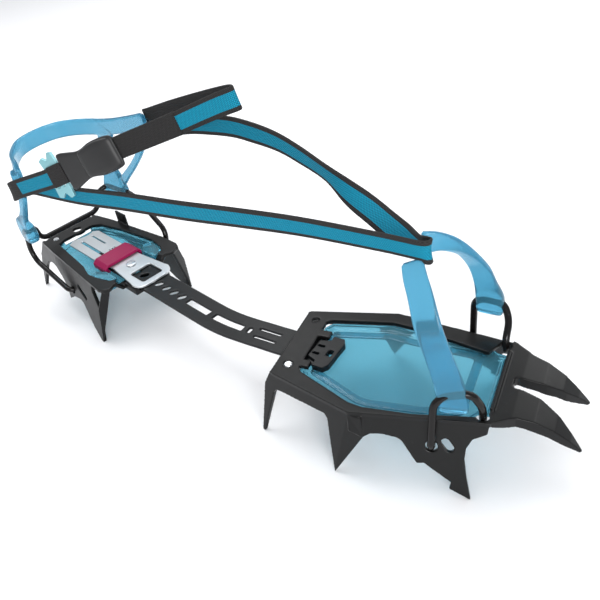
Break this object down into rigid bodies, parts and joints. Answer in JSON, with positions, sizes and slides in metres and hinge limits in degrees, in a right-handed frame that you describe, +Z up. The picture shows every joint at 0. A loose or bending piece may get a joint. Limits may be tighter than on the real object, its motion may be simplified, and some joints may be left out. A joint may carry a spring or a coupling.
{
  "type": "strap-on crampon",
  "caption": "Strap-on mountaineering crampon: two toothed steel plates on a sliding link bar, with moulded anti-snow panels, a length adjuster, wire bails, flexible cradles and a webbing harness.",
  "frame": {"origin": "middle of the bounding box at ground level, on the plane the downward spike tips stand on", "axes": "+X towards the toe points, +Y towards the inner side of a right boot, +Z up"},
  "size_m": [0.4104, 0.1149, 0.1721],
  "materials": {
    "frame_steel": "satin graphite powder coat",
    "bar_steel": "satin dark coating",
    "blue_plastic": "translucent glossy moulding",
    "rivet_steel": "bright rivet steel",
    "wire_steel": "gloss dark coating",
    "bare_steel": "bead-blasted bare steel",
    "magenta_plastic": "satin moulding",
    "webbing": "ribbed woven webbing with dark edges",
    "sewn_webbing": "dense dark woven webbing",
    "anodised_alloy": "pale aqua anodising",
    "grip_plastic": "smooth dark moulding"
  },
  "bodies": {
    "front_section": {"front_frame": "frame_steel", "front_panel": "blue_plastic", "front_panel_rivet": "rivet_steel", "link_bar": "bar_steel", "toe_cradle_near": "blue_plastic", "toe_cradle_far": "blue_plastic", "near_webbing": "webbing", "far_webbing": "webbing"},
    "near_toe_wire": {"toe_wire_near": "wire_steel"},
    "far_toe_wire": {"toe_wire_far": "wire_steel"},
    "heel_section": {"heel_frame": "frame_steel", "heel_panel": "blue_plastic", "heel_panel_rivet": "rivet_steel", "bar_guide": "frame_steel"},
    "adjuster": {"adjuster_plate": "bare_steel", "lock_stud": "rivet_steel"},
    "slider": {"lock_slider": "magenta_plastic"},
    "heel_harness": {"heel_bail": "wire_steel", "heel_cradle": "blue_plastic", "ankle_webbing": "webbing", "webbing_end": "sewn_webbing", "buckle": "anodised_alloy", "pull_tab": "grip_plastic", "strap_loop": "sewn_webbing"}
  },
  "joints": [
    {"name": "length_setting", "type": "slide", "parent": "front_section", "child": "heel_section", "axis": [0.9796, -0.2011, 0], "range_m": [-0.0168, 0.0588]},
    {"name": "adjuster_lift", "type": "hinge", "parent": "heel_section", "child": "adjuster", "pos_m": [-0.16294, 0.01617, 0.0399], "axis": [-0.2011, -0.9796, 0], "range_deg": [0, 10]},
    {"name": "lock_slide", "type": "slide", "parent": "adjuster", "child": "slider", "axis": [-0.9796, 0.2011, 0], "range_m": [0, 0.012]},
    {"name": "heel_bail_pivot", "type": "hinge", "parent": "heel_section", "child": "heel_harness", "pos_m": [-0.14235, -0.01786, 0.02262], "axis": [0.567, 0.8146, 0.1217], "range_deg": [-6, 15], "deforming": ["near_webbing", "far_webbing"]},
    {"name": "near_toe_wire_pivot", "type": "hinge", "parent": "front_section", "child": "near_toe_wire", "pos_m": [0.14379, -0.03971, 0.02703], "axis": [0.6935, 0.5208, 0.4978], "range_deg": [0, 20], "deforming": ["toe_cradle_near"]},
    {"name": "far_toe_wire_pivot", "type": "hinge", "parent": "front_section", "child": "far_toe_wire", "pos_m": [0.13376, 0.03172, 0.02719], "axis": [-0.8148, 0.2525, -0.5218], "range_deg": [0, 12], "deforming": ["toe_cradle_far"]}
  ]
}
